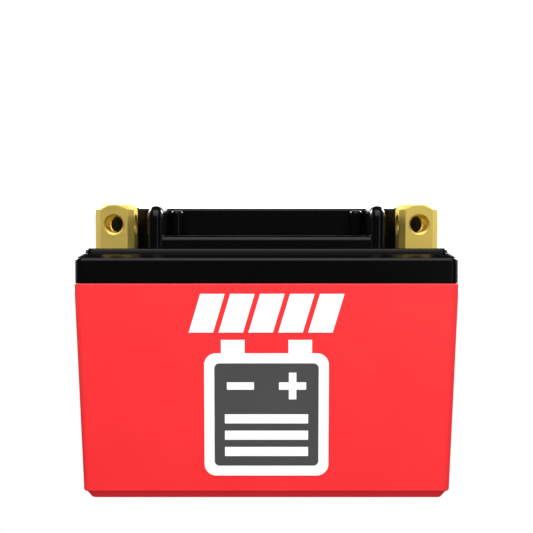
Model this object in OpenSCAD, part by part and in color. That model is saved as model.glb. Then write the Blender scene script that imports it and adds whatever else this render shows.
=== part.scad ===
// Motorcycle starter battery: four groups of two round lithium cells in a drafted case under a bonded lid.
// X runs along the width, the terminals are at the front (-Y), and the foot stands on z = 0.

/* [Case] */
// Width of the case at the lid seam
case_w = 114; // [95:0.5:137]
// Depth of the case at the lid seam
case_d = 71; // [59:0.5:86]
// Height of the case, from its foot to the lid seam
case_h = 65.1; // [54:0.1:78]
// Draft of each case wall, in degrees, with the foot narrower than the seam
case_draft = 1.75; // [0.5:0.05:2.5]
// Thickness of the case walls
case_wall = 2; // [1.6:0.1:2.6]
// Thickness of the case floor
floor_t = 2.5; // [1.8:0.1:4]
// Radius of the upright corners of the case and the lid
corner_r = 2.2; // [1.2:0.1:4]
// Height of the foot band
foot_h = 2.4; // [1.2:0.1:2.4]
// Step inwards from the case wall to the foot band
foot_inset = 0.8; // [0.5:0.1:1.2]
// Slant of the foot band over its height
foot_slant = 1.4; // [0:0.1:1.6]

/* [Lid] */
// Step inwards from the case wall to the lid's rim
rim_step = 0.2; // [0:0.1:0.6]
// Height of the upright rim band
rim_h = 7.3; // [6:0.1:10]
// Draft of the rim band, in degrees
rim_draft = 0.5; // [0:0.1:3]
// Height of the sloping shoulder above the rim band
shoulder_h = 1.5; // [1:0.1:3]
// Width of the sloping shoulder
shoulder_w = 2.6; // [1:0.1:3]
// Height of the step from the shoulder up to the plateau
step_h = 1.5; // [1:0.1:3]
// How far the step leans in over its height
step_lean = 0.3; // [0:0.1:0.6]
// Thickness of the lid's top walls
lid_wall = 2.2; // [1.8:0.1:2.6]
// Depth of the tongue that goes down inside the case
tongue_h = 3; // [2:0.1:5]
// Thickness of the tongue
tongue_t = 1.6; // [1.2:0.1:2]
// Gap between the tongue and the case wall
tongue_gap = 0.2; // [0.1:0.05:0.4]
// Section of the sealing bead in the lid seam
bead = 0.8; // [0.5:0.1:1.2]

/* [Deck] */
// Height of the raised rear deck above the plateau
deck_h = 12.1; // [10:0.1:15]
// Gap for a nut between the back of a terminal block and the deck
nut_gap = 5.4; // [4.5:0.1:7]
// Margin between the deck and the plateau's edge
deck_margin = 0.6; // [0.3:0.1:2]
// Draft of the deck's walls, in degrees
deck_draft = 1.5; // [0:0.1:4]
// Thickness of the two round-nosed columns beside the recess
column_t = 4.8; // [3:0.1:5.4]
// Height of the columns above the deck's top
column_rise = 0.6; // [0.2:0.1:1.5]
// Gap for a nut between a terminal block and its column
column_gap = 4.2; // [3.5:0.1:6]
// Set-back of the columns' noses from the plateau's front edge
nose_set = 0.3; // [0.1:0.1:1]
// Set-back of the recess floor from the plateau's front edge
ledge_set = 1.3; // [0.8:0.1:2]
// Height of the recess's floor above the plateau
ledge_h = 3.8; // [2.8:0.1:6]
// Radius of the recess floor's front edge
ledge_r = 1.7; // [0.5:0.1:2]
// Radius of the rounding over the columns' noses
column_round = 3.8; // [2.4:0.1:5]
// Width of the round-nosed posts in the recess's rear corners
post_w = 3.9; // [3:0.1:5]
// How far the posts stand out from the deck
post_d = 3.2; // [2.5:0.1:3.6]
// Gap between each post and its column
post_gap = 0.7; // [0.3:0.1:2]
// Drop from the deck's top to the posts' tops
post_drop = 0.6; // [0.2:0.1:2]
// Height of the raised polarity marks
mark_h = 0.4; // [0.2:0.1:0.6]
// Length of the strokes of the polarity marks
mark_l = 8; // [5:0.5:10]

/* [Terminals] */
// Width of each terminal block
terminal_w = 11.5; // [10:0.1:13]
// Depth of each terminal block
terminal_d = 11; // [10:0.1:13]
// Height of each terminal block above the plateau
terminal_h = 13; // [12.9:0.1:15]
// Distance from the plateau's side edge to the terminal block
terminal_side = 2.5; // [1.5:0.1:4]
// Distance from the plateau's front edge to the terminal block
terminal_front = 1.7; // [1:0.1:3]
// Diameter of the cross bores, for an M5 bolt
bolt_bore = 5.2; // [4.2:0.1:5.6]
// Height of the cross bores above the plateau
bolt_z = 7.1; // [6.6:0.1:7.6]
// Chamfer at the mouths of the cross bores
mouth = 0.5; // [0.2:0.1:0.8]
// Bevel of the block's upright edges
block_bevel = 1.7; // [0.4:0.1:1.9]
// How far the cone over the block's top comes in from its sides
crown = 0.4; // [0.2:0.1:1]
// Diameter of the shank that goes down through the lid
shank_d = 7; // [6:0.1:8]
// Gap between the shank and its hole in the lid
shank_gap = 0.1; // [0.05:0.05:0.3]
// Section of the sealing ring round the shank
ring_t = 1.1; // [0.8:0.1:1.4]
// Diameter of the screw that holds the lead to the shank
screw_d = 4; // [3:0.5:4]

/* [Cells] */
// Gap between neighbouring cells
cell_gap = 0.2; // [0.1:0.1:1]
// Narrowest wall of the cell holders outside the end cells
holder_edge = 0.6; // [0.4:0.1:2]
// Gap between the cell holders and the case
holder_gap = 0.3; // [0.1:0.1:0.6]
// Height of each cell holder
holder_h = 8; // [5:0.5:12]
// Thinnest foam allowed in front of and behind the cells
foam_min = 2.5; // [1.5:0.1:4]
// Thickness of the printed sleeve round each cell
sleeve_t = 0.2; // [0.1:0.05:0.3]
// Height of the raised button at a cell's positive end
button_h = 0.6; // [0.5:0.1:1]
// Thickness of the welded nickel strips
strip_t = 0.3; // [0.15:0.05:0.5]
// Thickness of the insulating sheets over and under the cells
sheet_t = 0.5; // [0.3:0.1:1]
// Room above the upper sheet for the leads and screws
wiring_room = 3.8; // [3.6:0.1:6]
// Thickness of the copper leads
lead_t = 0.6; // [0.4:0.1:0.8]
// Width of the copper leads
lead_w = 8; // [6:0.5:9]

/* [Balance board] */
// Gap from the board's ends to the deck's inner walls
board_end_gap = 8.8; // [6:0.1:12]
// Gap from the board's front edge to the deck's inner wall
board_front_gap = 3.2; // [2.5:0.1:5]
// Room for the sense wires between the board and the deck's inner rear wall
wire_room = 6; // [5.5:0.1:8]
// Thickness of the balance board
board_t = 1.6; // [0.8:0.2:2]
// Height of the spacers under the board
spacer_h = 5.4; // [4.5:0.1:6]
// Diameter of the sense wires
wire_d = 1.3; // [0.8:0.1:1.6]

/* [Label] */
// Thickness of the printed film on the front wall
film_t = 0.08; // [0.05:0.01:0.08]
// Distance from the lid seam down to the slanted bars
bars_top = 3; // [2.6:0.1:5]
// Height of the slanted bars
bars_h = 11.5; // [6:0.5:14]
// Width over the slanted bars
bars_w = 46; // [30:1:60]
// Distance from the bars down to the battery symbol
symbol_gap = 2.2; // [1:0.1:5]
// Width of the battery symbol
symbol_w = 37; // [24:1:50]
// Height of the battery symbol, with its terminals
symbol_h = 41; // [26:1:42]

/* [Hidden] */
$fn = 48;
cut = 1;
corner_steps = 8;
cols = 4;
rows = 2;
lean = tan(case_draft);

// Plan of the case's outside and inside at height z
function outer(z) = [case_w, case_d] - 2 * (case_h - z) * lean * [1, 1];
function inner(z) = outer(z) - 2 * case_wall * [1, 1];

// Lid levels and plans
rim_z = case_h + rim_h;
shoulder_z = rim_z + shoulder_h;
plateau_z = shoulder_z + step_h;
under_z = plateau_z - lid_wall;
deck_z = plateau_z + deck_h;
column_z = deck_z + column_rise;
ledge_z = plateau_z + ledge_h;
rim_plan = [case_w, case_d] - 2 * rim_step * [1, 1];
rim_top = rim_plan - 2 * rim_h * tan(rim_draft) * [1, 1];
shoulder = rim_top - 2 * shoulder_w * [1, 1];
plateau = shoulder - 2 * step_lean * [1, 1];
tongue = inner(case_h - tongue_h) - 2 * tongue_gap * [1, 1];
hollow = tongue - 2 * tongue_t * [1, 1];

// Terminals
terminal_x = plateau.x / 2 - terminal_side - terminal_w / 2;
terminal_y = -plateau.y / 2 + terminal_front + terminal_d / 2;
ring_r = shank_d / 2 + 0.15 + ring_t / 2;
washer_t = 0.5;
head_h = 2;
head_r = 3.6;
screw_up = lid_wall + bolt_z - bolt_bore / 2 - 0.8;

// Deck, columns and recess
deck_y0 = terminal_y + terminal_d / 2 + nut_gap;
deck_y1 = plateau.y / 2 - deck_margin;
deck_plan = [plateau.x - 2 * deck_margin, deck_y1 - deck_y0];
deck_top = deck_plan - 2 * deck_h * tan(deck_draft) * [1, 1];
recess_w = 2 * (terminal_x - terminal_w / 2 - column_gap - column_t);
column_x = recess_w / 2 + column_t / 2;
column_y = -plateau.y / 2 + column_t / 2 + nose_set;
ledge_y = -plateau.y / 2 + ledge_set;

// Cells, from the floor up
strips_z = floor_t + sheet_t;
cells_z = strips_z + strip_t;
cells_top = under_z - wiring_room - sheet_t - strip_t;
cell_l = cells_top - cells_z;
holder = inner(strips_z) - 2 * holder_gap * [1, 1];
pitch = min((holder.x - 2 * holder_edge) / cols, (holder.y - 2 * foam_min) / rows);
cell_r = (pitch - cell_gap) / 2;
can_r = cell_r - sleeve_t - 0.05;
pocket_r = cell_r + cell_gap / 2 - 0.05;
pack_d = rows * pitch;
sheet_z = cells_top + strip_t;
strip_y = pack_d / 2 - 4.6;
strip_w = pitch * 0.84;
cusp_y = pitch / 2 + pitch * 0.373;

// Leads
bend_y = terminal_y + 6;
foot_l = 9;

// Balance board
board_z = sheet_z + sheet_t + spacer_h;
board_w = deck_plan.x - 2 * lid_wall - 2 * board_end_gap;
board_d = deck_plan.y - 2 * lid_wall - board_front_gap - wire_room;
board_y = deck_y0 + lid_wall + board_front_gap + board_d / 2;
wire_y = board_y + board_d / 2 + wire_room / 2;
plug = [14, 7, 6];
hole_in = 4;
spacer_r = 2.8;

// Where the sense wires leave the three upper strips and the two lower links
tap_x = min(1.5 * pitch - 6, board_w / 2 - hole_in - spacer_r - wire_d);
chip_pitch = min(17, (board_w / 2 - hole_in - spacer_r - 4.5) / ((cols - 1) / 2));
link_y = strip_y - 0.8;

// ---- Shared shapes ----

module rounded_rect(size, r) {
    square([size.x - 2 * r, size.y], center = true);
    square([size.x, size.y - 2 * r], center = true);
    for (x = [-1, 1], y = [-1, 1])
        translate([x * (size.x / 2 - r), y * (size.y / 2 - r)]) circle(r);
}

// The points of a rounded rectangle at height z, anticlockwise
function ring(size, z, r) = [for (q = [0:3], k = [0:corner_steps]) let (a = 90 * (q + k / corner_steps))
    [(q == 0 || q == 3 ? 1 : -1) * (size.x / 2 - r) + r * cos(a),
     (q < 2 ? 1 : -1) * (size.y / 2 - r) + r * sin(a), z]];

// A block with rounded upright corners whose plan changes from low at z0 to high at z1
module tapered(low, high, z0, z1, r) {
    n = 4 * (corner_steps + 1);
    polyhedron(concat(ring(low, z0, r), ring(high, z1, r)),
               concat([[for (i = [0:n - 1]) i], [for (i = [n - 1:-1:0]) n + i]],
                      [for (i = [0:n - 1]) [i, n + i, n + (i + 1) % n, (i + 1) % n]]));
}

module slab(size, r, z0, z1)
    translate([0, 0, z0]) linear_extrude(height = z1 - z0) rounded_rect(size, r);

module box_at(x, y, z0, z1, w, d) translate([x - w / 2, y - d / 2, z0]) cube([w, d, z1 - z0]);

module tube(r, bore, h) difference() {
    cylinder(r = r, h = h);
    translate([0, 0, -cut]) cylinder(r = bore, h = h + 2 * cut);
}

// A wire with round elbows through a list of points
module wire(path, d) {
    for (i = [0:len(path) - 2]) {
        step = path[i + 1] - path[i];
        length = norm(step);
        translate(path[i])
            rotate([0, acos(step.z / length), atan2(step.y, step.x)])
                cylinder(d = d, h = length);
        if (i > 0) translate(path[i]) sphere(d = d);
    }
}

// ---- Case ----

module case() color("#ff3c3e") difference() {
    union() {
        tapered(outer(foot_h), outer(case_h), foot_h, case_h, corner_r);
        tapered(outer(foot_h) - 2 * (foot_inset + foot_slant) * [1, 1],
                outer(foot_h) - 2 * foot_inset * [1, 1], 0, foot_h, corner_r / 2);
    }
    tapered(inner(floor_t), inner(case_h + cut), floor_t, case_h + cut, corner_r / 2);
}

// ---- Lid ----

// A wall with a round nose, its top rounded along and over the nose
module column(side) translate([side * column_x, column_y, plateau_z - cut]) {
    run = deck_y0 + 4 - column_y;
    r = column_t / 2;
    top = column_z - plateau_z + cut;
    intersection() {
        linear_extrude(height = top) {
            circle(r);
            translate([-r, 0]) square([column_t, run]);
        }
        translate([0, run + cut, 0]) rotate([90, 0, 0]) linear_extrude(height = run + r + 2 * cut) {
            translate([-r, 0]) square([column_t, top - r]);
            translate([0, top - r]) circle(r);
        }
        translate([-r - cut, -r, 0]) rotate([90, 0, 90]) linear_extrude(height = column_t + 2 * cut) {
            square([run + column_t, top - column_round]);
            translate([column_round, 0]) square([run + column_t, top]);
            translate([column_round, top - column_round]) circle(column_round);
        }
    }
}

// A round-nosed post that stands on the recess's floor against the deck
module post(side)
    translate([side * (recess_w / 2 - post_gap - post_w / 2), deck_y0 + post_w / 2 - post_d, ledge_z - cut])
        linear_extrude(height = deck_z - post_drop - ledge_z + cut) {
            circle(post_w / 2);
            translate([-post_w / 2, 0]) square([post_w, post_d]);
        }

module ledge() {
    depth = deck_y0 + 2 - ledge_y;
    box_at(0, ledge_y + depth / 2, plateau_z - cut, ledge_z - ledge_r, recess_w + 2, depth);
    box_at(0, ledge_y + ledge_r + depth / 2, ledge_z - ledge_r - cut, ledge_z, recess_w + 2, depth);
    translate([-recess_w / 2 - 1, ledge_y + ledge_r, ledge_z - ledge_r])
        rotate([0, 90, 0]) cylinder(r = ledge_r, h = recess_w + 2);
}

module polarity_marks() {
    y = deck_y0 + 8;
    for (side = [-1, 1])
        box_at(side * terminal_x, y, deck_z - cut, deck_z + mark_h, mark_l, mark_l / 4);
    box_at(terminal_x, y, deck_z - cut, deck_z + mark_h, mark_l / 4, mark_l);
}

module lid_hollow() {
    slab(hollow, corner_r / 2, case_h - tongue_h - cut, under_z);
    translate([0, (deck_y0 + deck_y1) / 2, 0])
        tapered(deck_plan - 2 * lid_wall * [1, 1], deck_top - 2 * lid_wall * [1, 1],
                under_z - cut / 2, deck_z - lid_wall, corner_r / 2);
    box_at(0, (ledge_y + deck_y0) / 2 + lid_wall, under_z - cut / 2, ledge_z - lid_wall,
           recess_w - 2 * lid_wall, deck_y0 - ledge_y);
}

module lid() color("#141416") difference() {
    union() {
        slab(tongue, corner_r / 2, case_h - tongue_h, case_h + cut);
        tapered(rim_plan, rim_top, case_h, rim_z, corner_r);
        tapered(rim_top, shoulder, rim_z, shoulder_z, corner_r);
        tapered(shoulder, plateau, shoulder_z, plateau_z, corner_r);
        translate([0, (deck_y0 + deck_y1) / 2, 0])
            tapered(deck_plan, deck_top, plateau_z - cut / 2, deck_z, corner_r);
        for (side = [-1, 1]) {
            column(side);
            post(side);
        }
        ledge();
        polarity_marks();
    }
    lid_hollow();
    difference() {
        slab(tongue + 2 * bead * [1, 1], corner_r, case_h - cut, case_h + bead);
        slab(tongue, corner_r / 2, case_h - 2 * cut, case_h + bead + cut);
    }
    for (side = [-1, 1]) translate([side * terminal_x, terminal_y, 0]) {
        translate([0, 0, under_z - cut]) cylinder(r = shank_d / 2 + shank_gap, h = lid_wall + 2 * cut);
        translate([0, 0, plateau_z - ring_t]) cylinder(r = ring_r + ring_t / 2 + 0.1, h = ring_t + cut);
    }
}

module lid_seal() color("#2a2a2c") difference() {
    slab(tongue + 2 * bead * [1, 1], corner_r, case_h, case_h + bead);
    slab(tongue, corner_r / 2, case_h - cut, case_h + bead + cut);
}

// ---- Terminals ----

module block_plan() {
    x = terminal_w / 2;
    y = terminal_d / 2;
    b = block_bevel;
    polygon([[b - x, -y], [x - b, -y], [x, b - y], [x, y - b],
             [x - b, y], [b - x, y], [-x, y - b], [-x, b - y]]);
}

// A through bore along X with a chamfer at both mouths, for a block of width w
module cross_bore(w) rotate([0, 90, 0]) {
    cylinder(d = bolt_bore, h = w + 2 * cut, center = true);
    for (side = [0, 180]) rotate([side, 0, 0])
        translate([0, 0, w / 2 - mouth])
            cylinder(r1 = bolt_bore / 2, r2 = bolt_bore / 2 + 2 * mouth, h = 2 * mouth);
}

module terminal(side) translate([side * terminal_x, terminal_y, plateau_z]) difference() {
    union() {
        intersection() {
            linear_extrude(height = terminal_h) block_plan();
            cylinder(r1 = terminal_w / 2 - crown + terminal_h, r2 = terminal_w / 2 - crown, h = terminal_h);
        }
        translate([0, 0, -lid_wall]) cylinder(d = shank_d, h = lid_wall + cut);
    }
    translate([0, 0, bolt_z]) cross_bore(terminal_w);
    translate([0, 0, bolt_z]) rotate([0, 0, 90]) cross_bore(terminal_d);
    translate([0, 0, -lid_wall - cut]) cylinder(d = screw_d + 0.1, h = screw_up + cut);
}

module terminal_positive() color("#d0af55") terminal(1);
module terminal_negative() color("#d0af55") terminal(-1);

module at_terminals() for (side = [-1, 1]) translate([side * terminal_x, terminal_y, 0]) children();

module terminal_seals() color("#1c1c1c") at_terminals()
    translate([0, 0, plateau_z - ring_t / 2])
        rotate_extrude() translate([ring_r, 0]) circle(d = ring_t);

module terminal_washers() color("#c9ccd0") at_terminals()
    translate([0, 0, under_z - lead_t - washer_t]) tube(4, screw_d / 2 + 0.15, washer_t);

module terminal_screws() color("#c9ccd0") at_terminals()
    translate([0, 0, under_z - lead_t - washer_t]) {
        difference() {
            translate([0, 0, -head_h]) cylinder(r = head_r, h = head_h);
            for (turn = [0, 90]) rotate(turn) box_at(0, 0, -head_h - cut, -head_h + 1, 4, 0.9);
        }
        cylinder(d = screw_d, h = washer_t + lead_t + screw_up - 0.4);
    }

// A copper lead: a lug under the terminal, a step down and a foot welded to the end strip
module lead(side) translate([side * terminal_x, 0, 0]) difference() {
    union() {
        translate([0, terminal_y, under_z - lead_t]) cylinder(d = lead_w + 1, h = lead_t);
        translate([-lead_w / 2, 0, 0]) rotate([90, 0, 90]) linear_extrude(height = lead_w)
            polygon([[terminal_y, under_z], [terminal_y, under_z - lead_t],
                     [bend_y, under_z - lead_t], [bend_y, sheet_z], [bend_y + foot_l, sheet_z],
                     [bend_y + foot_l, sheet_z + lead_t], [bend_y + lead_t, sheet_z + lead_t],
                     [bend_y + lead_t, under_z]]);
    }
    translate([0, terminal_y, under_z - lead_t - cut]) cylinder(d = screw_d + 0.4, h = lead_t + 2 * cut);
}

module positive_lead() color("#b8693d") lead(1);
module negative_lead() color("#b8693d") lead(-1);

// ---- Cells ----

function cell_x(i) = (cols / 2 - 0.5 - floor(i / rows)) * pitch;
function cell_y(i) = (i % rows - (rows - 1) / 2) * pitch;
function positive_up(i) = floor(i / rows) % 2 == 0;

// Places a child that is drawn with the positive end up at z = 0 to cell_l
module at_cell(i) translate([cell_x(i), cell_y(i), cells_z])
    if (positive_up(i)) children();
    else translate([0, 0, cell_l]) mirror([0, 0, 1]) children();

module cell(i) color("#c4c7cb") at_cell(i) {
    cylinder(r = can_r, h = cell_l - button_h);
    translate([0, 0, cell_l - button_h - cut]) cylinder(r = 4.5, h = button_h + cut);
}

module cell_sleeves() color("#2f6fae") for (i = [0:cols * rows - 1]) at_cell(i)
    translate([0, 0, 0.4]) tube(cell_r, can_r + 0.05, cell_l - button_h - 0.6);

module cell_rings() color("#e9e9e4") for (i = [0:cols * rows - 1]) at_cell(i)
    translate([0, 0, cell_l - button_h]) tube(can_r - 0.8, 5, button_h - 0.2);

module cell_holder(z0) difference() {
    translate([0, 0, z0]) linear_extrude(height = holder_h) rounded_rect(holder, corner_r / 2);
    for (i = [0:cols * rows - 1])
        translate([cell_x(i), cell_y(i), z0 - cut]) cylinder(r = pocket_r, h = holder_h + 2 * cut);
    notch_y = min(cusp_y - wire_d - 1, link_y - 0.2);
    for (side = [-1, 1])
        box_at(side * pitch, notch_y + holder.y / 2, z0 - cut, z0 + holder_h + cut, wire_d + 1, holder.y);
}

module lower_cell_holder() color("#3b3e42") cell_holder(cells_z);
module upper_cell_holder() color("#3b3e42") cell_holder(cells_top - holder_h);

// A nickel strip over the given number of cell columns, slit over each cell for welding
module strip(x, over, z) difference() {
    translate([x, 0, z]) linear_extrude(height = strip_t)
        rounded_rect([strip_w + (over - 1) * pitch, 2 * strip_y], 1.5);
    for (c = [0:over - 1], y = [-1, 1])
        box_at(x + (c - (over - 1) / 2) * pitch, y * pitch / 2, z - cut, z + strip_t + cut, 0.8, 7);
}

module positive_strip() color("#d5d7da") strip(1.5 * pitch, 1, cells_top);
module negative_strip() color("#d5d7da") strip(-1.5 * pitch, 1, cells_top);
module upper_link_strip() color("#d5d7da") strip(0, 2, cells_top);
module lower_link_strip_right() color("#d5d7da") strip(pitch, 2, strips_z);
module lower_link_strip_left() color("#d5d7da") strip(-pitch, 2, strips_z);

module upper_insulator() color("#3f5b4d") difference() {
    translate([0, 0, sheet_z]) linear_extrude(height = sheet_t)
        rounded_rect([hollow.x - 1, 2 * strip_y + 0.8], 1);
    for (side = [-1, 1])
        box_at(side * terminal_x, bend_y + foot_l / 2, sheet_z - cut, sheet_z + sheet_t + cut,
               lead_w + 1, foot_l + 1);
    for (x = [-tap_x, 0, tap_x])
        box_at(x, strip_y, sheet_z - cut, sheet_z + sheet_t + cut, wire_d + 1, 6);
}

module lower_insulator() color("#3f5b4d")
    slab(inner(floor_t) - 2 * holder_gap * [1, 1], corner_r / 2, floor_t, strips_z);

// ---- Foam ----

module foam_pad(side) {
    near = pack_d / 2 + 0.1;
    far = inner(cells_z + holder_h).y / 2 - holder_gap;
    box_at(0, side * (near + far) / 2, cells_z + holder_h, cells_top - holder_h,
           holder.x - 8, far - near);
}

module front_foam_pad() color("#4a4c50") foam_pad(-1);
module rear_foam_pad() color("#4a4c50") foam_pad(1);

module board_foam_pad() color("#4a4c50")
    box_at(0, board_y - 2, board_z + board_t + 3.2, deck_z - lid_wall, board_w * 0.7, board_d * 0.6);

// ---- Balance board ----

module at_board_holes() for (x = [-1, 1], y = [-1, 1])
    translate([x * (board_w / 2 - hole_in), board_y + y * (board_d / 2 - hole_in), 0]) children();

module balance_board() color("#1e6b3a") difference() {
    translate([0, board_y, board_z]) linear_extrude(height = board_t) rounded_rect([board_w, board_d], 2);
    at_board_holes() translate([0, 0, board_z - cut]) cylinder(d = 3.2, h = board_t + 2 * cut);
}

module board_spacers() color("#d9d9d4") at_board_holes()
    translate([0, 0, board_z - spacer_h]) tube(spacer_r, 1.6, spacer_h);

module board_screws() color("#c9ccd0") at_board_holes() {
    translate([0, 0, board_z - 4]) cylinder(d = 3, h = board_t + 4);
    translate([0, 0, board_z + board_t]) difference() {
        cylinder(r = spacer_r, h = 1.8);
        for (turn = [0, 90]) rotate(turn) box_at(0, 0, 1, 1.8 + cut, 3.4, 0.7);
    }
}

module balance_chips() color("#1b1c1e") for (c = [0:cols - 1])
    box_at((c - (cols - 1) / 2) * chip_pitch, board_y - 4, board_z + board_t, board_z + board_t + 1.6, 5, 6);

module bleed_resistors() color("#26282b") for (c = [0:cols - 1], x = [-1, 1])
    box_at((c - (cols - 1) / 2) * chip_pitch + x * 2.4, board_y - 11, board_z + board_t,
           board_z + board_t + 0.8, 3, 6.3);

module wire_plug() color("#efeee6")
    box_at(0, board_y + board_d / 2 - plug.y / 2, board_z + board_t, board_z + board_t + plug.z,
           plug.x, plug.y);

// Five sense wires: the three upper strips, then the two lower links up through the holders' notches
module sense_wires() color("#7c1f22") {
    plug_y = board_y + board_d / 2;
    low = board_z + board_t + 1.6;
    high = low + 2.4;
    rest = sheet_z + wire_d / 2;
    for (side = [-1, 1]) {
        wire([[side * tap_x, strip_y - 2, rest], [side * tap_x, wire_y, rest],
              [side * tap_x, wire_y, low], [side * 5, wire_y, low], [side * 5, plug_y, low]], wire_d);
        wire([[side * pitch, link_y, cells_z + wire_d / 2], [side * pitch, cusp_y, cells_z + wire_d / 2],
              [side * pitch, cusp_y, rest + 1.6], [side * pitch, wire_y, rest + 1.6],
              [side * pitch, wire_y, high], [side * 3, wire_y, high], [side * 3, plug_y, high]], wire_d);
    }
    wire([[0, strip_y - 2, rest], [0, wire_y, rest], [0, wire_y, low], [0, plug_y, low]], wire_d);
}

// ---- Label ----

// Puts a flat shape on the drafted front wall, with the seam's middle as its origin
module on_front() translate([0, -case_d / 2, case_h]) rotate([case_draft, 0, 0]) rotate([90, 0, 0])
    linear_extrude(height = film_t) children();

module bar(x, w, slant) translate([x, 0])
    polygon([[0, 0], [w, 0], [w + slant, bars_h], [slant, bars_h]]);

symbol_y = -bars_top - bars_h - symbol_gap - symbol_h;
body_h = symbol_h - 4;
panel = [symbol_w - 6, body_h - 6];

module panel_plan() translate([0, symbol_y + body_h / 2]) rounded_rect(panel, 1.5);

// Plus and minus signs over three level bars
module signs_plan() translate([0, symbol_y + body_h / 2]) {
    stroke = panel.x * 0.26;
    y = panel.y * 0.28;
    for (side = [-1, 1]) translate([side * panel.x * 0.25, y]) square([stroke, stroke / 3.6], center = true);
    translate([panel.x * 0.25, y]) square([stroke / 3.6, stroke], center = true);
    for (i = [0:2]) translate([0, -panel.y * (0.04 + 0.16 * i)])
        square([panel.x * 0.8, panel.y * 0.09], center = true);
}

module label_bars() color("white") on_front() {
    slant = bars_h * 0.3;
    gap = 1.6;
    wide = (bars_w - slant - 4 * gap) / 5;
    for (i = [0:4]) translate([0, -bars_top - bars_h])
        bar(-bars_w / 2 + i * (wide + gap), wide, slant);
}

module label_symbol() color("white") on_front() {
    difference() {
        union() {
            translate([0, symbol_y + body_h / 2]) rounded_rect([symbol_w, body_h], 3.5);
            for (side = [-1, 1])
                translate([side * symbol_w * 0.27, symbol_y + symbol_h - 3]) square([7, 6], center = true);
        }
        panel_plan();
    }
    signs_plan();
}

module label_panel() color("#3a3a3a") on_front() difference() {
    panel_plan();
    signs_plan();
}

// ---- Drawing ----

case();
lid();
lid_seal();
terminal_positive();
terminal_negative();
terminal_seals();
terminal_washers();
terminal_screws();
positive_lead();
negative_lead();
for (i = [1:cols * rows]) cell(i - 1);
cell_sleeves();
cell_rings();
lower_cell_holder();
upper_cell_holder();
positive_strip();
negative_strip();
upper_link_strip();
lower_link_strip_right();
lower_link_strip_left();
upper_insulator();
lower_insulator();
front_foam_pad();
rear_foam_pad();
board_foam_pad();
balance_board();
board_spacers();
board_screws();
balance_chips();
bleed_resistors();
wire_plug();
sense_wires();
label_bars();
label_symbol();
label_panel();
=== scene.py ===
"""Looks of a motorcycle battery: satin red case, gloss black lid, brass terminals and a printed label."""

import math

import bmesh
import bpy
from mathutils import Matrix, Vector


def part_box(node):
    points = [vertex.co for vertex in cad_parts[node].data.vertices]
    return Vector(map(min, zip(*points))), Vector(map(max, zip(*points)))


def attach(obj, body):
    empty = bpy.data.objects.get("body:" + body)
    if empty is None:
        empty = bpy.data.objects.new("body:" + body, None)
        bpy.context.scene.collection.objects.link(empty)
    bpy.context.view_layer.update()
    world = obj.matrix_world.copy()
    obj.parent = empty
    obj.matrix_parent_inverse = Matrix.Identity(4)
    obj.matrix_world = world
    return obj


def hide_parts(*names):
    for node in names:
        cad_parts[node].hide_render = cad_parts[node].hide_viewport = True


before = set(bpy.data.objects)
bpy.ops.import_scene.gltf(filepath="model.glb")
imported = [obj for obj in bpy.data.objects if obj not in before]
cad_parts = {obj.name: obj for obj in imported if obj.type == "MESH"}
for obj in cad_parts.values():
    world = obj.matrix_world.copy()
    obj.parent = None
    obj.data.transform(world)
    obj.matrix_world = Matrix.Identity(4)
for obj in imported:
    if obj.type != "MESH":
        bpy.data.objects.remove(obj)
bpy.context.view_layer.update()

MM = 0.001
# Two heights or places this close count as the same
TOUCH = 0.01 * MM
# How far a piece that joins or cuts another reaches past the surface it meets
BITE = 1 * MM

# ---- Places and sizes, in metres, from the frame ----

SEAM_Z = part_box("case")[1].z
CASE_W, CASE_D = 2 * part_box("case")[1].x, 2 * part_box("case")[1].y
TERMINAL_LOW, TERMINAL_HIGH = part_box("terminal_positive")

CASE_LEAN = math.tan(math.radians(1.75))
CORNER = 2.2 * MM
CASE_EDGE = 0.3 * MM
WALL = 2.0 * MM
FLOOR = 2.5 * MM
FOOT_H = 2.4 * MM
FOOT_INSET = 0.8 * MM
FOOT_SLANT = 1.4 * MM
FOOT_STEP_EDGE = 0.5 * MM
FOOT_EDGE = 0.35 * MM

RIM_Z = SEAM_Z + 7.3 * MM
SHOULDER_Z = RIM_Z + 1.5 * MM
PLATEAU_Z = SHOULDER_Z + 1.5 * MM
DECK_Z = PLATEAU_Z + 12.1 * MM
COLUMN_Z = DECK_Z + 0.6 * MM
POST_Z = DECK_Z - 0.6 * MM
LEDGE_Z = PLATEAU_Z + 3.8 * MM
RIM_DRAFT = math.tan(math.radians(0.5))
DECK_DRAFT = math.tan(math.radians(1.5))
SEAM_EDGE, RIM_EDGE, PLATEAU_EDGE, DECK_EDGE = 0.25 * MM, 0.8 * MM, 0.6 * MM, 0.7 * MM
LID_WALL = 2.2 * MM
UNDER_Z = PLATEAU_Z - LID_WALL
TONGUE_H = 3.0 * MM

TERMINAL_H = TERMINAL_HIGH.z - PLATEAU_Z
TERMINAL_W = TERMINAL_HIGH.x - TERMINAL_LOW.x
TERMINAL_D = TERMINAL_HIGH.y - TERMINAL_LOW.y
TERMINAL_X = (TERMINAL_HIGH.x + TERMINAL_LOW.x) / 2
TERMINAL_Y = (TERMINAL_HIGH.y + TERMINAL_LOW.y) / 2
BORE_Z = PLATEAU_Z + 7.1 * MM
BORE_R = 2.6 * MM
MOUTH = 0.5 * MM
TERMINAL_BEVEL = 1.7 * MM
SHANK_R = 3.5 * MM
SHANK_GAP = 0.1 * MM
SEAL_R, SEAL_DEPTH = 4.85 * MM, 1.1 * MM


def shrink(size, by):
    """A plan made smaller by the same amount on all four sides."""
    return (size[0] - 2 * by, size[1] - 2 * by)


def case_plan(z):
    return shrink((CASE_W, CASE_D), (SEAM_Z - z) * CASE_LEAN)


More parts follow.
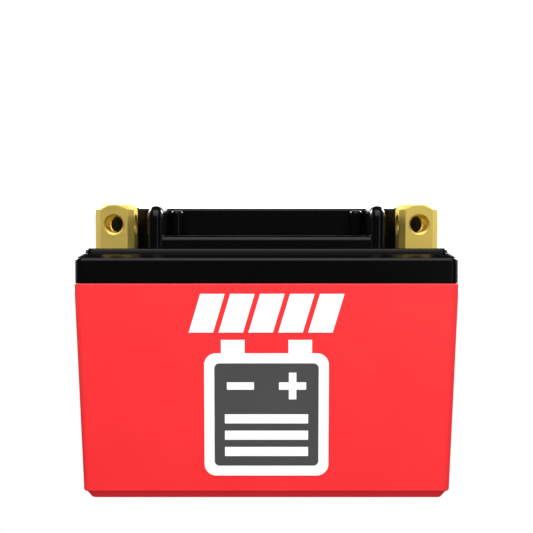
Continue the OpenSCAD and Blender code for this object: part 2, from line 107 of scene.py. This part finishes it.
RIM_PLAN = shrink((CASE_W, CASE_D), 0.2 * MM)
RIM_TOP = shrink(RIM_PLAN, (RIM_Z - SEAM_Z) * RIM_DRAFT)
SHOULDER = shrink(RIM_TOP, 2.6 * MM)
PLATEAU = shrink(SHOULDER, 0.3 * MM)
TONGUE = shrink(case_plan(SEAM_Z - TONGUE_H), WALL + 0.2 * MM)
HOLLOW = shrink(TONGUE, 1.6 * MM)

DECK_FRONT = TERMINAL_HIGH.y + 5.4 * MM
DECK_BACK = PLATEAU[1] / 2 - 0.6 * MM
DECK_Y = (DECK_FRONT + DECK_BACK) / 2
DECK_PLAN = (PLATEAU[0] - 1.2 * MM, DECK_BACK - DECK_FRONT)
DECK_TOP = shrink(DECK_PLAN, (DECK_Z - PLATEAU_Z) * DECK_DRAFT)

COLUMN_T = 4.8 * MM
RECESS_W = 2 * (TERMINAL_LOW.x - 4.2 * MM - COLUMN_T)
COLUMN_X = RECESS_W / 2 + COLUMN_T / 2
NOSE_CORNER = 3.8 * MM
COLUMN_FRONT = -PLATEAU[1] / 2 + 0.3 * MM
LEDGE_FRONT = -PLATEAU[1] / 2 + 1.3 * MM
LEDGE_EDGE = 1.7 * MM
POST_W = 3.9 * MM
POST_X = RECESS_W / 2 - 0.7 * MM - POST_W / 2
POST_FRONT = DECK_FRONT - 3.2 * MM
POST_EDGE = 1.0 * MM
MARK_RISE, MARK_EDGE = 0.4 * MM, 0.15 * MM
MARK_LONG, MARK_SHORT = 8 * MM, 2 * MM


# ---- Modelling helpers ----

def pick(piece, mode, test):
    """Selects, in edit mode, the vertices, edges or faces that pass a test on their place or normal."""
    bpy.ops.mesh.select_mode(type=mode)
    bpy.ops.mesh.select_all(action="DESELECT")
    mesh = bmesh.from_edit_mesh(piece.data)
    mesh.normal_update()
    for element in {"VERT": mesh.verts, "EDGE": mesh.edges, "FACE": mesh.faces}[mode]:
        if test(element):
            element.select_set(True)
    mesh.select_flush_mode()
    bmesh.update_edit_mesh(piece.data)


def faces_up(z):
    return lambda face: face.normal.z > 0.9 and abs(face.calc_center_median().z - z) < TOUCH


def faces_down(z):
    return lambda face: face.normal.z < -0.9 and abs(face.calc_center_median().z - z) < TOUCH


def edges_at(z):
    """Convex edges that lie level at height z, with a real corner over them."""
    return lambda edge: (all(abs(v.co.z - z) < TOUCH for v in edge.verts) and edge.is_convex
                         and edge.calc_face_angle(0) > 0.5)


def upright(edge):
    a, b = (v.co for v in edge.verts)
    return abs(a.z - b.z) > 0.8 * (a - b).length


def edit(piece):
    bpy.ops.object.select_all(action="DESELECT")
    piece.select_set(True)
    bpy.context.view_layer.objects.active = piece
    bpy.ops.object.mode_set(mode="EDIT")


def done():
    bpy.ops.object.mode_set(mode="OBJECT")


def round_over(piece, test, radius, segments=4):
    """Rounds the edges that pass the test."""
    pick(piece, "EDGE", test)
    bpy.ops.mesh.bevel(offset=radius, segments=segments, affect="EDGES")


def lift(rise, growth, y=0.0):
    """Extrudes the selected face up or down and resizes its plan about the axis."""
    bpy.ops.mesh.extrude_region_move(TRANSFORM_OT_translate={"value": (0, 0, rise)})
    bpy.ops.transform.resize(value=(growth[0], growth[1], 1), center_override=(0, y, 0))


def ratio(high, low):
    return (high[0] / low[0], high[1] / low[1])


def block(name, size, z0, z1, x=0.0, y=0.0):
    """A box of the given plan between two heights, with its place in its mesh."""
    bpy.ops.object.select_all(action="DESELECT")
    bpy.ops.mesh.primitive_cube_add(size=1, location=(x, y, (z0 + z1) / 2), scale=(size[0], size[1], z1 - z0))
    piece = bpy.context.object
    piece.name = name
    piece.data.name = name
    bpy.ops.object.transform_apply(location=True, rotation=True, scale=True)
    return piece


def plan_block(name, low, high, z0, z1, radius, y=0.0, segments=8):
    """A block with rounded upright corners, from one plan at its foot to another at its top."""
    piece = block(name, low, z0, z1, 0.0, y)
    edit(piece)
    pick(piece, "FACE", faces_up(z1))
    growth = ratio(high, low)
    bpy.ops.transform.resize(value=(growth[0], growth[1], 1), center_override=(0, y, z1))
    round_over(piece, upright, radius, segments)
    done()
    return piece


def combine(piece, tool, operation):
    """Joins, cuts or trims a piece with a tool, which is then thrown away."""
    step = piece.modifiers.new(operation.title(), "BOOLEAN")
    step.operation = operation
    step.solver = "EXACT"
    step.object = tool
    bpy.ops.object.select_all(action="DESELECT")
    piece.select_set(True)
    bpy.context.view_layer.objects.active = piece
    bpy.ops.object.modifier_apply(modifier=step.name)
    bpy.data.objects.remove(tool)


def copy_of(piece, name, move):
    """A copy with its own mesh, moved along X."""
    bpy.ops.object.select_all(action="DESELECT")
    piece.select_set(True)
    bpy.context.view_layer.objects.active = piece
    bpy.ops.object.duplicate()
    twin = bpy.context.object
    twin.name = name
    twin.data.name = name
    edit(twin)
    bpy.ops.mesh.select_all(action="SELECT")
    bpy.ops.transform.translate(value=(move, 0, 0))
    done()
    return twin


def finish_surface(piece, angle=35):
    """Merges doubles, points the faces outwards and sets smooth shading with flat faces kept flat."""
    edit(piece)
    bpy.ops.mesh.select_all(action="SELECT")
    bpy.ops.mesh.remove_doubles(threshold=0.002 * MM)
    bpy.ops.mesh.select_all(action="SELECT")
    bpy.ops.mesh.normals_make_consistent(inside=False)
    done()
    bpy.ops.object.shade_smooth_by_angle(angle=math.radians(angle))
    weigh = piece.modifiers.new("Weighted normals", "WEIGHTED_NORMAL")
    weigh.keep_sharp = True
    bpy.ops.object.modifier_apply(modifier=weigh.name)


# ---- The case ----

def make_case():
    shell = plan_block("case_shell", case_plan(FOOT_H), case_plan(SEAM_Z), FOOT_H, SEAM_Z, CORNER)
    edit(shell)
    pick(shell, "FACE", faces_down(FOOT_H))
    bpy.ops.mesh.inset(thickness=FOOT_INSET)
    foot = shrink(case_plan(FOOT_H), FOOT_INSET)
    lift(-FOOT_H, ratio(shrink(foot, FOOT_SLANT), foot))
    round_over(shell, edges_at(FOOT_H), FOOT_STEP_EDGE)
    round_over(shell, edges_at(0.0), FOOT_EDGE, 3)
    pick(shell, "FACE", faces_up(SEAM_Z))
    bpy.ops.mesh.inset(thickness=WALL)
    lift(FLOOR - SEAM_Z, ratio(shrink(case_plan(FLOOR), WALL), shrink(case_plan(SEAM_Z), WALL)))
    round_over(shell, edges_at(SEAM_Z), CASE_EDGE, 3)
    done()
    finish_surface(shell)
    return shell


# ---- The lid ----

def make_column(side):
    """A wall with a round nose and a fully rounded top, which meet in a rounded corner."""
    back = DECK_FRONT + 4 * MM
    column = block("column", (COLUMN_T, back - COLUMN_FRONT), PLATEAU_Z - BITE, COLUMN_Z,
                   side * COLUMN_X, (back + COLUMN_FRONT) / 2)
    edit(column)
    round_over(column, lambda edge: all(v.co.z > COLUMN_Z - TOUCH and v.co.y < COLUMN_FRONT + TOUCH
                                        for v in edge.verts), NOSE_CORNER, 8)

    def beside_top_or_nose(edge):
        sides = [abs(face.normal.x) > 0.9 for face in edge.link_faces]
        other = [face.normal for face in edge.link_faces if abs(face.normal.x) < 0.9]
        return any(sides) and bool(other) and (other[0].z > 0.05 or other[0].y < -0.05)

    round_over(column, beside_top_or_nose, COLUMN_T / 2 - 0.1 * MM, 8)
    done()
    return column


def make_ledge():
    """The recess floor, with a rounded front edge."""
    back = DECK_FRONT + 2 * MM
    ledge = block("ledge", (RECESS_W + 2 * BITE, back - LEDGE_FRONT), PLATEAU_Z - BITE, LEDGE_Z,
                  0.0, (back + LEDGE_FRONT) / 2)
    edit(ledge)
    round_over(ledge, lambda edge: all(v.co.z > LEDGE_Z - TOUCH and v.co.y < LEDGE_FRONT + TOUCH
                                       for v in edge.verts), LEDGE_EDGE, 8)
    done()
    return ledge


def make_post(side):
    """A round-nosed post that stands on the recess floor against the deck."""
    back = DECK_FRONT + 2 * MM
    post = block("post", (POST_W, back - POST_FRONT), LEDGE_Z - BITE, POST_Z, side * POST_X,
                 (back + POST_FRONT) / 2)
    edit(post)
    round_over(post, lambda edge: upright(edge) and edge.verts[0].co.y < POST_FRONT + TOUCH,
               POST_W / 2 - 0.05 * MM, 8)
    round_over(post, edges_at(POST_Z), POST_EDGE)
    done()
    return post


def make_mark(width, depth, side):
    """One stroke of a raised polarity mark on the deck."""
    mark = block("mark", (width, depth), DECK_Z - BITE, DECK_Z + MARK_RISE,
                 side * TERMINAL_X, DECK_FRONT + MARK_LONG)
    edit(mark)
    round_over(mark, edges_at(DECK_Z + MARK_RISE), MARK_EDGE, 2)
    done()
    return mark


def make_lid():
    lid = plan_block("lid_shell", RIM_PLAN, RIM_TOP, SEAM_Z, RIM_Z, CORNER)
    edit(lid)
    pick(lid, "FACE", faces_up(RIM_Z))
    lift(SHOULDER_Z - RIM_Z, ratio(SHOULDER, RIM_TOP))
    lift(PLATEAU_Z - SHOULDER_Z, ratio(PLATEAU, SHOULDER))
    round_over(lid, edges_at(RIM_Z), RIM_EDGE)
    round_over(lid, edges_at(PLATEAU_Z), PLATEAU_EDGE)
    round_over(lid, edges_at(SEAM_Z), SEAM_EDGE, 3)
    done()

    deck = plan_block("deck", DECK_PLAN, DECK_TOP, PLATEAU_Z - BITE, DECK_Z, CORNER, DECK_Y)
    edit(deck)
    round_over(deck, edges_at(DECK_Z), DECK_EDGE)
    done()

    tongue = plan_block("tongue", TONGUE, TONGUE, SEAM_Z - TONGUE_H, SEAM_Z + BITE, CORNER / 2)
    additions = [deck, tongue, make_ledge()]
    for side in (-1, 1):
        additions += [make_column(side), make_post(side), make_mark(MARK_LONG, MARK_SHORT, side)]
    additions.append(make_mark(MARK_SHORT, MARK_LONG, 1))
    for piece in additions:
        combine(lid, piece, "UNION")

    cuts = [
        plan_block("hollow", HOLLOW, HOLLOW, SEAM_Z - TONGUE_H - BITE, UNDER_Z, CORNER / 2, segments=3),
        plan_block("deck_hollow", shrink(DECK_PLAN, LID_WALL), shrink(DECK_TOP, LID_WALL),
                   UNDER_Z - BITE, DECK_Z - LID_WALL, CORNER / 2, DECK_Y, segments=3),
        block("ledge_hollow", (RECESS_W - 2 * LID_WALL, DECK_FRONT - LEDGE_FRONT), UNDER_Z - BITE,
              LEDGE_Z - LID_WALL, 0.0, (DECK_FRONT + LEDGE_FRONT) / 2 + LID_WALL),
    ]
    for side in (-1, 1):
        for radius, depth in ((SHANK_R + SHANK_GAP, 5 * MM), (SEAL_R, SEAL_DEPTH)):
            bpy.ops.object.select_all(action="DESELECT")
            bpy.ops.mesh.primitive_cylinder_add(vertices=48, radius=radius, depth=2 * depth,
                                                location=(side * TERMINAL_X, TERMINAL_Y, PLATEAU_Z))
            hole = bpy.context.object
            bpy.ops.object.transform_apply(location=True, rotation=True, scale=True)
            cuts.append(hole)
    for piece in cuts:
        combine(lid, piece, "DIFFERENCE")
    finish_surface(lid)
    return lid


# ---- The terminals ----

def bore_tool(length, turn):
    """A bolt bore with a flared mouth at both ends, turned to run along X or Y."""
    bpy.ops.object.select_all(action="DESELECT")
    bpy.ops.mesh.primitive_cylinder_add(vertices=96, radius=BORE_R, depth=length - 2 * MOUTH,
                                        location=(0, 0, 0))
    tool = bpy.context.object
    edit(tool)
    for end in (-1, 1):
        pick(tool, "FACE", lambda face: face.normal.z * end > 0.9)
        lift(end * 2 * MOUTH, ((BORE_R + 2 * MOUTH) / BORE_R,) * 2)
    done()
    tool.rotation_euler = turn
    tool.location = (TERMINAL_X, TERMINAL_Y, BORE_Z)
    bpy.ops.object.transform_apply(location=True, rotation=True, scale=True)
    return tool


def make_terminal():
    """A brass block with bevelled upright edges, a cone over its top, crossed bolt bores and a shank."""
    terminal = block("positive_block", (TERMINAL_W, TERMINAL_D), PLATEAU_Z, PLATEAU_Z + TERMINAL_H,
                     TERMINAL_X, TERMINAL_Y)
    edit(terminal)
    round_over(terminal, upright, TERMINAL_BEVEL, 1)
    done()
    crown = TERMINAL_W / 2 - 0.4 * MM
    bpy.ops.object.select_all(action="DESELECT")
    bpy.ops.mesh.primitive_cone_add(vertices=128, radius1=crown + TERMINAL_H + BITE, radius2=crown - BITE,
                                    depth=TERMINAL_H + 2 * BITE,
                                    location=(TERMINAL_X, TERMINAL_Y, PLATEAU_Z + TERMINAL_H / 2))
    cone = bpy.context.object
    bpy.ops.object.transform_apply(location=True, rotation=True, scale=True)
    combine(terminal, cone, "INTERSECT")
    bpy.ops.object.select_all(action="DESELECT")
    bpy.ops.mesh.primitive_cylinder_add(vertices=64, radius=SHANK_R, depth=LID_WALL + BITE,
                                        location=(TERMINAL_X, TERMINAL_Y, PLATEAU_Z + (BITE - LID_WALL) / 2))
    shank = bpy.context.object
    bpy.ops.object.transform_apply(location=True, rotation=True, scale=True)
    combine(terminal, shank, "UNION")
    combine(terminal, bore_tool(TERMINAL_W, (0, math.pi / 2, 0)), "DIFFERENCE")
    combine(terminal, bore_tool(TERMINAL_D, (math.pi / 2, 0, 0)), "DIFFERENCE")
    soften = terminal.modifiers.new("Broken edges", "BEVEL")
    soften.width = 0.12 * MM
    soften.segments = 2
    soften.limit_method = "ANGLE"
    soften.angle_limit = math.radians(28)
    bpy.ops.object.modifier_apply(modifier=soften.name)
    finish_surface(terminal, 25)
    return terminal


# ---- Finishes ----

class Socket:
    """One output of a shader node. Arithmetic on it adds Math nodes."""

    def __init__(self, finish, output):
        self.finish = finish
        self.output = output

    def maths(self, operation, *terms):
        return self.finish.node("ShaderNodeMath", {"operation": operation}, dict(enumerate(terms)))

    def __add__(self, other):
        return self.maths("ADD", self, other)

    def __sub__(self, other):
        return self.maths("SUBTRACT", self, other)

    def __rsub__(self, other):
        return self.maths("SUBTRACT", other, self)

    def __mul__(self, other):
        return self.maths("MULTIPLY", self, other)

    def __pow__(self, other):
        return self.maths("POWER", self, other)

    __radd__ = __add__
    __rmul__ = __mul__


CONSTANTS = {"metallic": "Metallic", "roughness": "Roughness", "specular_ior_level": "Specular IOR Level"}


class Finish:
    """A material built from nodes round one Principled shader."""

    def __init__(self, name, **constants):
        self.material = bpy.data.materials.new(name)
        self.material.use_nodes = True
        self.tree = self.material.node_tree
        self.shader = self.tree.nodes["Principled BSDF"]
        for socket, value in constants.items():
            self.shader.inputs[CONSTANTS[socket]].default_value = value
        self.place = self.node("ShaderNodeTexCoord", {}, {}, "Object")

    def node(self, kind, settings, sockets, output=0):
        """Adds a node with its settings, then the values or links of its sockets, and returns one output."""
        made = self.tree.nodes.new(kind)
        for setting, value in settings.items():
            if setting == "stops":
                ramp = made.color_ramp
                while len(ramp.elements) < len(value):
                    ramp.elements.new(0.5)
                for element, (position, shade) in zip(ramp.elements, value):
                    element.position = position
                    element.color = shade
            else:
                setattr(made, setting, value)
        for socket, value in sockets.items():
            if isinstance(value, Socket):
                self.tree.links.new(value.output, made.inputs[socket])
            else:
                made.inputs[socket].default_value = value
        return Socket(self, made.outputs[output])

    def noise(self, size, detail=3.0, stretch=(1, 1, 1)):
        """Noise whose features are about size metres across."""
        place = self.node("ShaderNodeMapping", {}, {"Vector": self.place, "Scale": stretch})
        return self.node("ShaderNodeTexNoise", {}, {"Vector": place, "Scale": 1 / size, "Detail": detail})

    def shades(self, factor, low, high):
        """A colour between two shades."""
        return self.node("ShaderNodeMix", {"data_type": "RGBA"}, {0: factor, 6: (*low, 1), 7: (*high, 1)}, 2)

    def feed(self, socket, value):
        self.tree.links.new(value.output, self.shader.inputs[socket])

    def bump(self, height, strength, distance):
        self.feed("Normal", self.node("ShaderNodeBump", {}, {"Height": height, "Strength": strength,
                                                             "Distance": distance}))


def moulded(name, low, high, roughness, grain, depth, spread=0.06, **constants):
    """Moulded plastic: a faint drift of colour, and a fine grain in its gloss and relief."""
    finish = Finish(name, **constants)
    fine = finish.noise(grain, 4.0)
    broad = finish.noise(18 * MM, 2.0)
    finish.feed("Base Color", finish.shades(broad * 0.7 + fine * 0.3, low, high))
    finish.feed("Roughness", fine * spread + broad * spread + (roughness - spread))
    finish.bump(fine, 0.5, depth)
    return finish.material


def machined(name, low, high, roughness, grain, stretch, depth, spread=0.12):
    """Bare metal with fine tool marks along one direction."""
    finish = Finish(name, metallic=1.0)
    marks = finish.noise(grain, 5.0, stretch)
    broad = finish.noise(6 * MM, 2.0)
    finish.feed("Base Color", finish.shades(marks * 0.5 + broad * 0.5, low, high))
    finish.feed("Roughness", marks * spread + broad * spread + (roughness - spread))
    finish.bump(marks, 0.6, depth)
    return finish.material


def foamed(name, low, high, cell):
    """Soft foam with open cells."""
    finish = Finish(name)
    cells = finish.node("ShaderNodeTexVoronoi", {"feature": "DISTANCE_TO_EDGE"},
                        {"Vector": finish.place, "Scale": 1 / cell})
    finish.feed("Base Color", finish.shades(cells * 3.0, low, high))
    finish.feed("Roughness", 0.95 - cells * 0.1)
    finish.bump(cells, 0.8, 0.3 * MM)
    return finish.material


def board_finish():
    """A green board with fine copper tracks that show through its mask."""
    finish = Finish("board_green")
    weave = finish.noise(0.6 * MM, 2.0, (1, 4, 1))
    tracks = finish.node("ShaderNodeTexWave", {"wave_type": "BANDS", "bands_direction": "X"},
                         {"Vector": finish.place, "Scale": 180.0, "Distortion": 1.5})
    lines = tracks.maths("GREATER_THAN", tracks, 0.82)
    finish.feed("Base Color", finish.shades(lines * 0.5 + weave * 0.3,
                                            (0.012, 0.11, 0.04), (0.06, 0.28, 0.1)))
    finish.feed("Roughness", 0.38 - lines * 0.1)
    finish.bump(lines, 0.4, 0.03 * MM)
    return finish.material


FINISHES = {
    "red_plastic": moulded("satin_red", (0.76, 0.022, 0.026), (0.84, 0.032, 0.036), 0.42, 0.5 * MM,
                           0.02 * MM),
    "black_plastic": moulded("gloss_black", (0.0012, 0.0011, 0.0014), (0.002, 0.0019, 0.0022), 0.2, 1.4 * MM,
                             0.005 * MM, 0.03, specular_ior_level=0.13),
    "brass": machined("satin_brass", (0.76, 0.56, 0.125), (0.92, 0.72, 0.19), 0.54, 0.3 * MM, (1, 1, 2),
                      0.02 * MM),
    "white_film": moulded("printed_white", (0.86, 0.86, 0.85), (0.95, 0.95, 0.94), 0.4, 0.3 * MM, 0.005 * MM),
    "grey_film": moulded("printed_grey", (0.05, 0.05, 0.052), (0.065, 0.065, 0.067), 0.4, 0.3 * MM,
                         0.005 * MM),
    "sealant": moulded("seam_sealant", (0.02, 0.02, 0.022), (0.04, 0.04, 0.042), 0.5, 1 * MM, 0.05 * MM),
    "seal_rubber": moulded("ring_rubber", (0.012, 0.012, 0.012), (0.022, 0.022, 0.022), 0.7, 0.4 * MM,
                           0.02 * MM),
    "steel": machined("zinc_steel", (0.55, 0.56, 0.58), (0.68, 0.69, 0.7), 0.34, 0.3 * MM, (1, 1, 4),
                      0.01 * MM),
    "copper": machined("bare_copper", (0.75, 0.32, 0.19), (0.86, 0.42, 0.27), 0.36, 0.3 * MM, (4, 1, 1),
                       0.01 * MM),
    "cell_can": machined("plated_can", (0.56, 0.57, 0.58), (0.68, 0.69, 0.7), 0.3, 0.4 * MM, (1, 1, 0.2),
                         0.008 * MM),
    "sleeve_film": moulded("blue_sleeve", (0.02, 0.11, 0.34), (0.035, 0.15, 0.42), 0.3, 0.6 * MM, 0.02 * MM),
    "insulator_ring": moulded("ring_paper", (0.74, 0.74, 0.7), (0.84, 0.84, 0.8), 0.8, 0.3 * MM, 0.03 * MM),
    "holder_plastic": moulded("holder_grey", (0.035, 0.038, 0.042), (0.055, 0.058, 0.062), 0.5, 0.5 * MM,
                              0.02 * MM),
    "nickel": machined("welded_nickel", (0.62, 0.61, 0.58), (0.74, 0.73, 0.7), 0.3, 0.3 * MM, (1, 5, 1),
                       0.008 * MM),
    "insulating_sheet": moulded("sheet_green", (0.04, 0.09, 0.065), (0.06, 0.12, 0.09), 0.6, 0.5 * MM,
                                0.03 * MM),
    "foam": foamed("grey_foam", (0.02, 0.021, 0.023), (0.09, 0.093, 0.1), 0.8 * MM),
    "circuit_board": board_finish(),
    "spacer_nylon": moulded("spacer_white", (0.68, 0.68, 0.65), (0.78, 0.78, 0.75), 0.45, 0.5 * MM,
                            0.02 * MM),
    "chip_epoxy": moulded("chip_black", (0.01, 0.01, 0.011), (0.02, 0.02, 0.021), 0.55, 0.2 * MM, 0.02 * MM),
    "plug_nylon": moulded("plug_cream", (0.8, 0.78, 0.7), (0.88, 0.86, 0.78), 0.4, 0.5 * MM, 0.02 * MM),
    "wire_jacket": moulded("wire_red", (0.19, 0.012, 0.015), (0.26, 0.02, 0.022), 0.4, 0.4 * MM, 0.01 * MM),
}

SLOT_OF = {
    "case": "red_plastic", "lid": "black_plastic", "lid_seal": "sealant",
    "terminal_positive": "brass", "terminal_negative": "brass", "terminal_seals": "seal_rubber",
    "terminal_washers": "steel", "terminal_screws": "steel",
    "positive_lead": "copper", "negative_lead": "copper",
    "cell_sleeves": "sleeve_film", "cell_rings": "insulator_ring",
    "lower_cell_holder": "holder_plastic", "upper_cell_holder": "holder_plastic",
    "positive_strip": "nickel", "negative_strip": "nickel", "upper_link_strip": "nickel",
    "lower_link_strip_right": "nickel", "lower_link_strip_left": "nickel",
    "upper_insulator": "insulating_sheet", "lower_insulator": "insulating_sheet",
    "front_foam_pad": "foam", "rear_foam_pad": "foam", "board_foam_pad": "foam",
    "balance_board": "circuit_board", "board_spacers": "spacer_nylon", "board_screws": "steel",
    "balance_chips": "chip_epoxy", "bleed_resistors": "chip_epoxy", "wire_plug": "plug_nylon",
    "sense_wires": "wire_jacket",
    "label_bars": "white_film", "label_symbol": "white_film", "label_panel": "grey_film",
}

for node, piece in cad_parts.items():
    slot = "cell_can" if node.startswith("cell_") and node[5:].isdigit() else SLOT_OF[node]
    for holder in piece.material_slots:
        holder.material = FINISHES[slot]


# ---- The pieces that stand for CAD nodes ----

def place(piece, node, slot):
    piece.data.materials.clear()
    piece.data.materials.append(FINISHES[slot])
    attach(piece, "root")
    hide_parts(node)


place(make_case(), "case", "red_plastic")
place(make_lid(), "lid", "black_plastic")
positive_block = make_terminal()
negative_block = copy_of(positive_block, "negative_block", -2 * TERMINAL_X)
place(positive_block, "terminal_positive", "brass")
place(negative_block, "terminal_negative", "brass")


# ---- Floor, light and camera ----

def glowing_paper(name, paper, spot, turn, low, high, glow):
    """Adds a pale sheet, 1 m square, that glows evenly."""
    bpy.ops.object.select_all(action="DESELECT")
    bpy.ops.mesh.primitive_plane_add(size=1, location=spot, rotation=(turn, 0, 0))
    sheet = bpy.context.object
    sheet.name = name
    bpy.ops.object.transform_apply(location=True, rotation=True, scale=True)
    paper.feed("Base Color", paper.shades(paper.noise(0.3, 2.0), (low,) * 3, (high,) * 3))
    paper.shader.inputs["Emission Color"].default_value = (1, 1, 1, 1)
    paper.shader.inputs["Emission Strength"].default_value = glow
    sheet.data.materials.append(paper.material)


def make_floor():
    """A level sheet behind the object. It does not reach under the object."""
    paper = Finish("floor_paper", specular_ior_level=0.0)
    paper.feed("Roughness", paper.noise(0.02, 2.0) * 0.1 + 0.85)
    glowing_paper("floor", paper, (0, 1.25, -0.0001), 0.0, 0.22, 0.24, 1.8)


def make_backdrop():
    """An upright sheet behind the object, which its rounded edges mirror."""
    glowing_paper("backdrop", Finish("wall_paper"), (0, 1.6, 0.6), math.pi / 2, 0.8, 0.83, 1.6)


def softbox(name, size, radiance, spot, target=(0, 0, 0.045), mirrored=True):
    """A rectangular light of the given brightness that looks at a target. Gloss mirrors it if asked."""
    lamp = bpy.data.lights.new(name, "AREA")
    lamp.shape = "RECTANGLE"
    lamp.size, lamp.size_y = size
    lamp.energy = radiance * math.pi * size[0] * size[1]
    holder = bpy.data.objects.new(name, lamp)
    bpy.context.scene.collection.objects.link(holder)
    holder.location = spot
    holder.visible_glossy = mirrored
    holder.rotation_euler = (Vector(target) - Vector(spot)).to_track_quat("-Z", "Y").to_euler()


make_floor()
make_backdrop()
# Each softbox: its name, its width and height, its brightness and its place
softbox("key", (0.7, 0.4), 3.6, (0.03, -0.5, 0.5))
softbox("front_fill", (0.6, 0.1), 16.0, (0, -0.7, 0.06), mirrored=False)
softbox("overhead", (0.6, 0.3), 5.0, (0, -0.24, 0.62))
softbox("left_side", (0.3, 0.4), 1.5, (-0.6, 0.05, 0.2))
softbox("right_side", (0.3, 0.4), 2.0, (0.6, 0.05, 0.2))
softbox("left_rim", (0.25, 0.25), 40.0, (-0.5, 0.42, 0.42))
softbox("right_rim", (0.25, 0.25), 48.0, (0.5, 0.42, 0.42))
softbox("right_strip", (0.03, 0.3), 5.0, (0.2, -0.42, 0.1), (0.035, -0.035, 0.08))

# The surroundings are white to the camera and dim in gloss and as light
world = bpy.data.worlds.new("studio")
bpy.context.scene.world = world
world.use_nodes = True
sky = world.node_tree.nodes["Background"]
sky.inputs["Color"].default_value = (1, 1, 1, 1)
ray = world.node_tree.nodes.new("ShaderNodeLightPath")
level = world.node_tree.nodes.new("ShaderNodeMapRange")
level.inputs["To Min"].default_value = 0.05
level.inputs["To Max"].default_value = 1.0
world.node_tree.links.new(ray.outputs["Is Camera Ray"], level.inputs["Value"])
world.node_tree.links.new(level.outputs["Result"], sky.inputs["Strength"])

lens = bpy.data.cameras.new("camera")
lens.lens = 59.9
lens.sensor_width = 36
lens.clip_start = 0.01
lens.clip_end = 50
camera = bpy.data.objects.new("camera", lens)
bpy.context.scene.collection.objects.link(camera)
camera.location = (0, -0.29588, 0.0833)
camera.rotation_euler = (math.radians(87.113), 0, 0)
bpy.context.scene.camera = camera
bpy.context.scene.view_settings.view_transform = "Standard"
